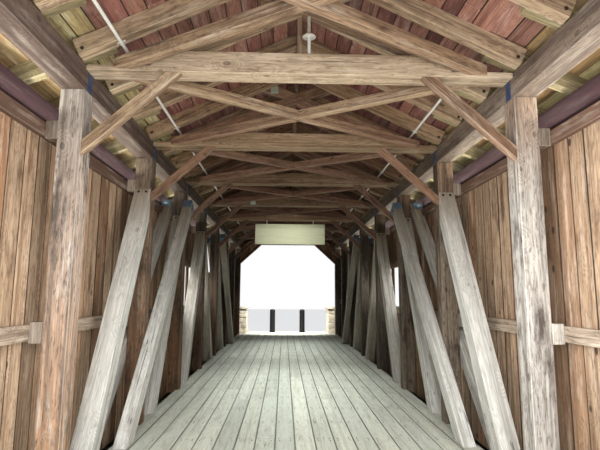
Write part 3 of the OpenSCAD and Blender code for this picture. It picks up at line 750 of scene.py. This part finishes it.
# Stonework
WALL_Y = HALF_LEN + 0.18
JOINT = 0.012
STONE_DEPTH = 0.16
STONE_WEAR = 0.045
WALL_STONE = 0.50
SEAT_FLAG = 0.10
DECK_FLAG = 0.09
PARAPET_IN = 1.65
PARAPET_OUT = 2.15
CAP_OVER = 0.055
CAP_H = 0.08


def rough_stone(seed):
    """One squared stone a metre a side, with worn arrises and a hewn face that looks up."""
    bpy.ops.mesh.primitive_cube_add(size=1)
    block = bpy.context.object
    edit()
    bpy.ops.mesh.bevel(offset=STONE_WEAR, segments=1, affect="EDGES")
    bpy.ops.mesh.select_all(action="DESELECT")
    done()
    for p in block.data.polygons:
        p.select = p.normal.z > 0.99
    bpy.ops.object.mode_set(mode="EDIT")
    bpy.ops.mesh.subdivide(number_cuts=2)
    bpy.ops.transform.vertex_random(offset=STONE_WEAR, uniform=0.25, normal=0.75, seed=seed)
    done()
    block.select_set(False)
    return block


stone_shapes = [rough_stone(seed) for seed in range(6)]


def set_stone(shape, centre, along, outward, size):
    """A copy of a stone with its hewn face outwards. size is length, height and depth."""
    up = outward.cross(along)
    block = duplicate(shape)
    place = Matrix((along * size[0], up * size[1], outward * size[2])).transposed().to_4x4()
    block.data.transform(Matrix.Translation(centre) @ place)
    return block


def course(start, along, outward, length, height, depth, wide):
    """One row of stones of uneven length."""
    row = []
    at = 0.0
    while at < length - 0.02:
        w = wide * rng.uniform(0.65, 1.4)
        if length - at - w < wide * 0.5:
            w = length - at
        centre = start + along * (at + w / 2) - outward * (depth / 2 + 0.004)
        centre.z += height / 2
        size = (w - JOINT, height - JOINT, depth)
        row.append(set_stone(rng.choice(stone_shapes), centre, along, outward, size))
        at += w
    return row


def courses(x0, y0, x1, y1, z0, z1, depth, tall, wide):
    """Rows of stones round a block, long and short by turns at its corners."""
    rows = max(1, round((z1 - z0) / tall))
    heights = [rng.uniform(0.8, 1.2) for _ in range(rows)]
    heights = [h * (z1 - z0) / sum(heights) for h in heights]
    laid = []
    z = z0
    for k, h in enumerate(heights):
        a, b = (0.0, depth) if k % 2 else (depth, 0.0)
        wide_x, wide_y = x1 - x0 - 2 * a, y1 - y0 - 2 * b
        laid += course(Vector((x0 + a, y0, z)), ACROSS, -LENGTHWISE, wide_x, h, depth, wide)
        laid += course(Vector((x1 - a, y1, z)), -ACROSS, LENGTHWISE, wide_x, h, depth, wide)
        laid += course(Vector((x1, y0 + b, z)), LENGTHWISE, ACROSS, wide_y, h, depth, wide)
        laid += course(Vector((x0, y1 - b, z)), -LENGTHWISE, -ACROSS, wide_y, h, depth, wide)
        z += h
    return laid


def flags(x0, y0, x1, y1, top, thick, long, wide):
    """Flat slabs over a level top."""
    laid = []
    rows = max(1, round((y1 - y0) / wide))
    for r in range(rows):
        ya, yb = y0 + (y1 - y0) * r / rows, y0 + (y1 - y0) * (r + 1) / rows
        x = x0
        while x < x1 - 0.02:
            w = long * rng.uniform(0.7, 1.3)
            if x1 - x - w < long * 0.5:
                w = x1 - x
            centre = Vector((x + w / 2, (ya + yb) / 2, top - thick / 2 - 0.003))
            size = (w - JOINT, yb - ya - JOINT, thick)
            laid.append(set_stone(rng.choice(stone_shapes), centre, ACROSS, UP, size))
            x += w
    return laid


def masonry(name, stones, *replaced):
    """Joins stones into one piece, each with its own shade."""
    piece = join(stones, name)
    only(piece)
    bpy.ops.object.shade_smooth_by_angle(angle=math.radians(50))
    grain(piece)
    finish_piece(piece, name, stone_mat, "stone", *replaced)


def mortar_core(node, depth=0.014):
    """What shows in the joints: the solid drawn in by the depth of a joint."""
    core = copy_of(node)
    edit()
    bpy.ops.transform.shrink_fatten(value=-depth, use_even_offset=True)
    done()
    finish_piece(core, node + "_mortar", mortar, "stone")


seat_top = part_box("bed_timbers")[0].z
for node, side in (("abutment_near", -1), ("abutment_far", 1)):
    low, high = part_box(node)
    outer = low.y if side < 0 else high.y
    river = high.y if side < 0 else low.y
    wall = side * WALL_Y
    y0, y1 = sorted((outer, river))
    seat_bed = seat_top - SEAT_FLAG
    stones = courses(low.x, y0, high.x, y1, 0.0, seat_bed, STONE_DEPTH, 0.28, WALL_STONE)
    s0, s1 = sorted((wall, river))
    stones += flags(low.x, s0, high.x, s1, seat_top, SEAT_FLAG, 0.85, 0.48)
    w0, w1 = sorted((outer, wall))
    stones += courses(low.x, w0, high.x, w1, seat_bed, DECK - DECK_FLAG, STONE_DEPTH, 0.26, WALL_STONE)
    stones += flags(low.x, w0, high.x, w1, DECK, DECK_FLAG, 0.75, 0.38)
    masonry(node + "_stones", stones, node)
    mortar_core(node)

low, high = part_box("parapets")
stones = []
for sx in (-1, 1):
    for sy in (-1, 1):
        x0, x1 = sorted((sx * PARAPET_IN, sx * PARAPET_OUT))
        y0, y1 = sorted((sy * (WALL_Y + CAP_OVER), sy * (high.y - CAP_OVER)))
        stones += courses(x0, y0, x1, y1, DECK, high.z - CAP_H, 0.13, 0.20, 0.30)
        c0, c1 = sorted((sy * WALL_Y, sy * high.y))
        stones += flags(x0 - CAP_OVER, c0, x1 + CAP_OVER, c1, high.z, CAP_H, 0.61, 0.58)
masonry("parapet_stones", stones, "parapets")
mortar_core("parapets", JOINT)
for shape in stone_shapes:
    bpy.data.objects.remove(shape)


# Shingles
def plain_shingle():
    """A tapered shingle a metre long and wide: its thick end looks down the slope."""
    bpy.ops.mesh.primitive_cube_add(size=1)
    piece = bpy.context.object
    edit()
    bpy.ops.mesh.select_all(action="DESELECT")
    done()
    for v in piece.data.vertices:
        v.select = v.co.x < 0
    bpy.ops.object.mode_set(mode="EDIT")
    bpy.ops.transform.resize(value=(1, 1, 0.35), center_override=(0, 0, -0.5))
    done()
    piece.select_set(False)
    return piece


SHINGLE_LEN = 0.42
SHINGLE_SHOW = 0.185
# How far a shingle's middle lies off the roof boards, and how far it rises to its thick end
SHINGLE_LIFT = 0.0165
BUTT_LIFT = 0.013
ROOF_BOARD_T = 0.022
TAIL_LEN = math.hypot(1, TAIL_SLOPE)
low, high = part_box("shingles")
wedge = plain_shingle()
roof_sides = []
kick_run = KICK_X * SLOPE_LEN
for side in (1, -1):

    def sheet_at(run):
        """Point on top of the roof boards, by the distance down the slope from the ridge."""
        x = run / SLOPE_LEN if run < kick_run else KICK_X + (run - kick_run) / TAIL_LEN
        return Vector((side * x, 0, roof_z(x) + ROOF_BOARD_T * SLOPE_LEN))

    run = kick_run + (high.x - 0.006 - KICK_X) * TAIL_LEN
    rows = math.ceil((run - SHINGLE_LEN * 0.4) / SHINGLE_SHOW)
    laid = []
    for k in range(rows):
        butt = run - k * SHINGLE_SHOW
        length = min(SHINGLE_LEN, butt - 0.02)
        down = (sheet_at(butt) - sheet_at(butt - length)).normalized()
        across = Vector((0, side, 0))
        lift = down.cross(across)
        if lift.z < 0:
            across, lift = -across, -lift
        y = low.y
        while y < high.y - 0.01:
            w = rng.uniform(0.11, 0.25)
            if high.y - y - w < 0.10:
                w = high.y - y
            end = butt - rng.uniform(0.0, 0.008)
            thick = rng.uniform(0.010, 0.013)
            tilt = (down * length + lift * BUTT_LIFT).normalized()
            centre = sheet_at(butt) + down * (end - butt - length / 2) + lift * (SHINGLE_LIFT - thick * 0.1)
            centre.y = y + w / 2
            shingle = duplicate(wedge)
            axes = Matrix((tilt * length, across * (w - SHRINK), tilt.cross(across) * thick))
            shingle.data.transform(Matrix.Translation(centre) @ axes.transposed().to_4x4())
            laid.append(shingle)
            y += w
    half = join(laid, "shingle_side")
    grain(half, down)
    roof_sides.append(half)
bpy.data.objects.remove(wedge)
shingle_roof = join(roof_sides, "shingle_courses")
finish_piece(shingle_roof, "shingle_courses", shingle_wood, "shingle_wood", "shingles")
timbers("ridge_cap", shingle_wood, "shingle_wood", 0.003)


# Metal and pipes
def smooth_metal(node, material, slot, edge=0.0015):
    """The solids of a node with rounded edges and smooth round sides."""
    piece = copy_of(node)
    bevel(piece, edge, 2)
    only(piece)
    bpy.ops.object.shade_smooth_by_angle(angle=math.radians(35))
    finish_piece(piece, node + "_metal", material, slot, node)


smooth_metal("bollards", black_iron, "bollard_iron", 0.003)
smooth_metal("steel_shoes", pale_steel, "pale_steel")
smooth_metal("steel_straps", blue_steel, "blue_steel")
smooth_metal("conduits", pipe_white, "pipe_plastic")
smooth_metal("lamp_drop", pipe_white, "pipe_plastic")


def stand(shape, point, outward, turn=0.0):
    """A copy of a piece that looks up, turned to stand out from a face."""
    twin = duplicate(shape)
    turned = Vector(outward).to_track_quat("Z", "Y").to_matrix().to_4x4()
    twin.data.transform(Matrix.Translation(point) @ turned @ Matrix.Rotation(turn, 4, "Z"))
    return twin


def pipe_clip(radius):
    """A band round a pipe that runs along Y, with a flat foot on top and a screw at each side."""
    band_w = 0.024
    bpy.ops.mesh.primitive_cylinder_add(vertices=20, radius=radius + 0.003, depth=band_w,
                                        rotation=(math.pi / 2, 0, 0))
    band = bpy.context.object
    bpy.ops.object.transform_apply(location=False, rotation=True, scale=False)
    bevel(band, 0.0015)
    bpy.ops.mesh.primitive_cube_add(size=1, location=(0, 0, radius + 0.001), scale=(0.078, band_w, 0.004))
    foot = bpy.context.object
    bpy.ops.object.transform_apply(location=True, rotation=False, scale=True)
    bevel(foot, 0.001)
    screws = []
    for side in (-1, 1):
        bpy.ops.mesh.primitive_cylinder_add(vertices=8, radius=0.004, depth=0.003,
                                            location=(side * 0.030, 0, radius - 0.002))
        screws.append(bpy.context.object)
    return join([band, foot] + screws, "clip")


def switch_box(wide, tall, deep):
    """A shallow box that looks up, with a lid set in its face and a short spout for the cable."""
    bpy.ops.mesh.primitive_cube_add(size=1, location=(0, 0, deep / 2), scale=(wide, tall, deep))
    box = bpy.context.object
    bpy.ops.object.transform_apply(location=True, rotation=False, scale=True)
    for p in box.data.polygons:
        p.select = p.normal.z > 0.9
    for part in (*box.data.vertices, *box.data.edges):
        part.select = False
    bpy.ops.object.mode_set(mode="EDIT")
    bpy.ops.mesh.select_mode(type="FACE")
    bpy.ops.mesh.inset(thickness=0.007, depth=0.0)
    bpy.ops.mesh.inset(thickness=0.0015, depth=-0.002)
    bpy.ops.mesh.inset(thickness=0.0015, depth=0.003)
    done()
    bevel(box, 0.002, 2)
    bpy.ops.mesh.primitive_cylinder_add(vertices=16, radius=0.011, depth=0.03, rotation=(math.pi / 2, 0, 0),
                                        location=(0, tall / 2 + 0.008, deep / 2))
    spout = bpy.context.object
    bpy.ops.object.transform_apply(location=True, rotation=True, scale=False)
    bevel(spout, 0.001)
    return join([box, spout], "box")


# One clip a bay; the left pipe starts a bay nearer than the right one
low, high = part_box("conduits")
pipe_r = (high.z - low.z) / 2
clip = pipe_clip(pipe_r)
clips = []
for side, first_row in ((-1, -3), (1, -2)):
    rafter_tilt = Matrix.Rotation(side * math.atan(RAFTER_SLOPE), 4, "Y")
    for k in range(first_row, 4):
        twin = duplicate(clip)
        place = Vector((side * (high.x - pipe_r), k * BAY - POST / 2 - 0.09, (low.z + high.z) / 2))
        twin.data.transform(Matrix.Translation(place) @ rafter_tilt)
        clips.append(twin)
finish_piece(join(clips, "pipe_clips"), "pipe_clips", pipe_white, "pipe_plastic")
bpy.data.objects.remove(clip)

# Two boxes on the near faces of the framing
boxes = []
for wide, tall, place in ((0.10, 0.09, (-0.296, row_y(2), DECK + 4.305)),
                          (0.11, 0.13, (-0.85, row_y(4), DECK + 3.60))):
    shape = switch_box(wide, tall, 0.045)
    boxes.append(stand(shape, place, (0, -1, 0)))
    bpy.data.objects.remove(shape)
finish_piece(join(boxes, "switch_boxes"), "switch_boxes", box_finish, "pipe_plastic")


def bolt_head(radius, tall):
    """A hexagon head on a round washer, looking up."""
    bpy.ops.mesh.primitive_cylinder_add(vertices=16, radius=radius * 1.45, depth=0.004,
                                        location=(0, 0, 0.001))
    washer = bpy.context.object
    bpy.ops.mesh.primitive_cylinder_add(vertices=6, radius=radius, depth=tall,
                                        location=(0, 0, 0.002 + tall / 2))
    head = bpy.context.object
    bevel(head, radius * 0.12)
    bevel(washer, 0.001)
    return join([head, washer], "bolt")


# Middle line of a long diagonal, and the places of the bolts
LONG_HEAD = Vector((0, row_y(3) - 0.05, DECK + 3.11))
LONG_FOOT = Vector((0, row_y(2) - 0.812, DECK))
SHOE_OUT = 0.151
DIAGONAL_BOLT_Y, DIAGONAL_BOLT_Z = 0.028, DECK + 2.877
DIAGONAL_FACE = (-0.882, 0.471)
TAIL_BOLT_X, TAIL_BOLT_Z = 1.872, DECK + 3.63

bolt = bolt_head(0.017, 0.014)
bolts = []


def set_bolt(point, outward):
    """Adds a bolt head with a chance turn."""
    bolts.append(stand(bolt, point, outward, rng.uniform(0, 1)))


# Two bolts in each shoe and in the head of each bay diagonal
back = (LONG_FOOT - LONG_HEAD).normalized()
for sx in (-1, 1):
    for sy in (-1, 1):
        for x, out in ((POST_IN - SHOE_OUT, -1), (POST_OUT + SHOE_OUT, 1)):
            for run in (0.050, 0.125):
                at = LONG_HEAD + back * run
                set_bolt((sx * x, sy * at.y, at.z), (sx * out, 0, 0))
        for i in (2, 3, 4):
            for x in (POST_IN + 0.050, POST_IN + 0.145):
                y = sy * (row_y(i) - DIAGONAL_BOLT_Y)
                set_bolt((sx * x, y, DIAGONAL_BOLT_Z), (0, sy * DIAGONAL_FACE[0], DIAGONAL_FACE[1]))
# One through each rafter and its tail
for sx in (-1, 1):
    for k in STEPS:
        set_bolt((sx * TAIL_BOLT_X, k * STEP - POST / 2 - 0.145, TAIL_BOLT_Z), (0, -1, 0))
finish_piece(join(bolts, "frame_bolts"), "frame_bolts", bolt_steel, "bollard_iron")
bpy.data.objects.remove(bolt)

# Nail heads where the planks cross the floor beams
bpy.ops.mesh.primitive_cylinder_add(vertices=6, radius=0.0065, depth=0.003, location=(0, 0, 0))
nail = bpy.context.object
nail.select_set(False)
heads = []
for k in STEPS:
    for x in nail_lines:
        if abs(x) < POST_IN - 0.04:
            for dy in (-0.035, 0.035):
                place = (x + rng.uniform(-0.012, 0.012), k * STEP + dy + rng.uniform(-0.01, 0.01), DECK)
                heads.append(stand(nail, place, UP))
finish_piece(join(heads, "deck_nails"), "deck_nails", bolt_steel, "bollard_iron")
bpy.data.objects.remove(nail)

# Stage
bpy.ops.mesh.primitive_plane_add(size=260, location=(0, 0, -0.002))
floor = bpy.context.object
floor.name = "floor"
# The floor is paler to the camera than to the bridge
floor_mat, w, shader = new_material("pale_floor")
shader.inputs["Base Color"].default_value = (0.80, 0.80, 0.80, 1)
shader.inputs["Roughness"].default_value = 0.9
shader.inputs["Emission Color"].default_value = (1, 1, 1, 1)
seen_straight = w.node("ShaderNodeLightPath").outputs["Is Camera Ray"]
w.put(shader.inputs["Emission Strength"], w.math("MULTIPLY", seen_straight, 0.45))
floor.data.materials.append(floor_mat)

world = bpy.data.worlds.new("studio")
scene.world = world
world.use_nodes = True
w = Wires(world.node_tree)
back = world.node_tree.nodes["Background"]
seen = w.node("ShaderNodeBackground")
seen.inputs["Color"].default_value = (1, 1, 1, 1)
seen.inputs["Strength"].default_value = 1.0
back.inputs["Color"].default_value = (0.93, 0.96, 1.0, 1)
back.inputs["Strength"].default_value = 0.35
path = w.node("ShaderNodeLightPath")
choose = w.node("ShaderNodeMixShader")
direct = w.math("MAXIMUM", path.outputs["Is Camera Ray"], path.outputs["Is Glossy Ray"])
w.put(choose.inputs[0], w.math("MAXIMUM", direct, path.outputs["Is Transmission Ray"]))
w.put(choose.inputs[1], back.outputs[0])
w.put(choose.inputs[2], seen.outputs[0])
w.put(world.node_tree.nodes["World Output"].inputs["Surface"], choose.outputs[0])


def soft_lamp(name, place, aim, size, power, tint=(1.0, 0.99, 0.97), spread=180):
    """A lamp that the camera can't see. aim is a point, or up or down."""
    data = bpy.data.lights.new(name, "AREA")
    data.shape = "RECTANGLE"
    data.size, data.size_y = size
    data.energy = power
    data.color = tint
    data.spread = math.radians(spread)
    lamp = bpy.data.objects.new(name, data)
    scene.collection.objects.link(lamp)
    lamp.location = place
    if aim in ("up", "down"):
        lamp.rotation_euler = (math.pi if aim == "up" else 0, 0, 0)
    else:
        lamp.rotation_euler = (Vector(aim) - Vector(place)).to_track_quat("-Z", "Y").to_euler()
    lamp.visible_camera = False


# Daylight from the near portal falls off fast, and the deck catches light all the way through
soft_lamp("portal_lamp", (0, -10.4, 4.9), (0, -4, 4.4), (3.2, 1.8), 128)
soft_lamp("day_lamp", (0, -16, 9.5), (0, -6.6, 4.0), (6.0, 3.0), 900)
for side in (-1, 1):
    soft_lamp("wall_lamp", (side * 0.9, -7.8, 4.7), (side * 2.25, -7.8, 4.6), (2.2, 1.8), 44 + 14 * side)
    soft_lamp("bay_lamp", (side * 0.8, -5.4, 4.6), (side * 2.25, -5.4, 4.5), (1.4, 1.8), 9)
    soft_lamp("eave_lamp", (side * 2.19, 0, 6.1), "up", (0.06, 17.2), 66, (1.0, 0.98, 0.88))
for y, power in ((-7.0, 26), (-2.0, 52), (3.5, 42)):
    soft_lamp("deck_lamp", (0, y, 6.3), "down", (1.8, 4.6), power, (0.95, 1.0, 0.97), 70)
window_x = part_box("siding_right")[0].x - 0.012
WINDOW_MIDDLE = DECK + 1.74
for side in (-1, 1):
    for y in (-BAY / 2, BAY / 2):
        soft_lamp("window_lamp", (side * window_x, y, WINDOW_MIDDLE), (0, y, DECK + 1.5), (1.8, 0.74), 13)
soft_lamp("roof_lamp", (0, -6.3, 5.0), "up", (2.4, 3.6), 22)
soft_lamp("far_lamp", (0, 7.9, 5.6), (0, 10.0, 3.6), (2.0, 0.5), 230, (1.0, 0.98, 0.92), 90)
soft_lamp("sign_lamp", (0, -0.6, 5.6), (0, 2.1, 6.0), (0.5, 0.2), 2, (1.0, 1.0, 0.95), 40)
soft_lamp("sky_lamp", (-14, -12, 20), (0, 0, 3), (14, 14), 5000)

# Camera; its eye stands this far before the second row of posts
TO_POSTS = 4.020
EYE = Vector((-0.145, row_y(1) - TO_POSTS, DECK + 1.593))
PITCH, YAW, ROLL = math.radians(8.076), math.radians(1.845), math.radians(0.291)
FOCAL_PX, PICTURE_PX = 480.8, 600
ahead = Vector((math.sin(YAW) * math.cos(PITCH), math.cos(YAW) * math.cos(PITCH), math.sin(PITCH)))
right = Vector((math.cos(YAW), -math.sin(YAW), 0))
up = right.cross(ahead)
right, up = right * math.cos(ROLL) + up * math.sin(ROLL), up * math.cos(ROLL) - right * math.sin(ROLL)
camera_data = bpy.data.cameras.new("camera")
camera_data.sensor_fit = "HORIZONTAL"
camera_data.sensor_width = 36
camera_data.lens = FOCAL_PX / PICTURE_PX * camera_data.sensor_width
camera_data.clip_end = 400
camera = bpy.data.objects.new("camera", camera_data)
scene.collection.objects.link(camera)
camera.matrix_world = Matrix.Translation(EYE) @ Matrix((right, up, -ahead)).transposed().to_4x4()
scene.camera = camera
scene.view_settings.view_transform = "Standard"
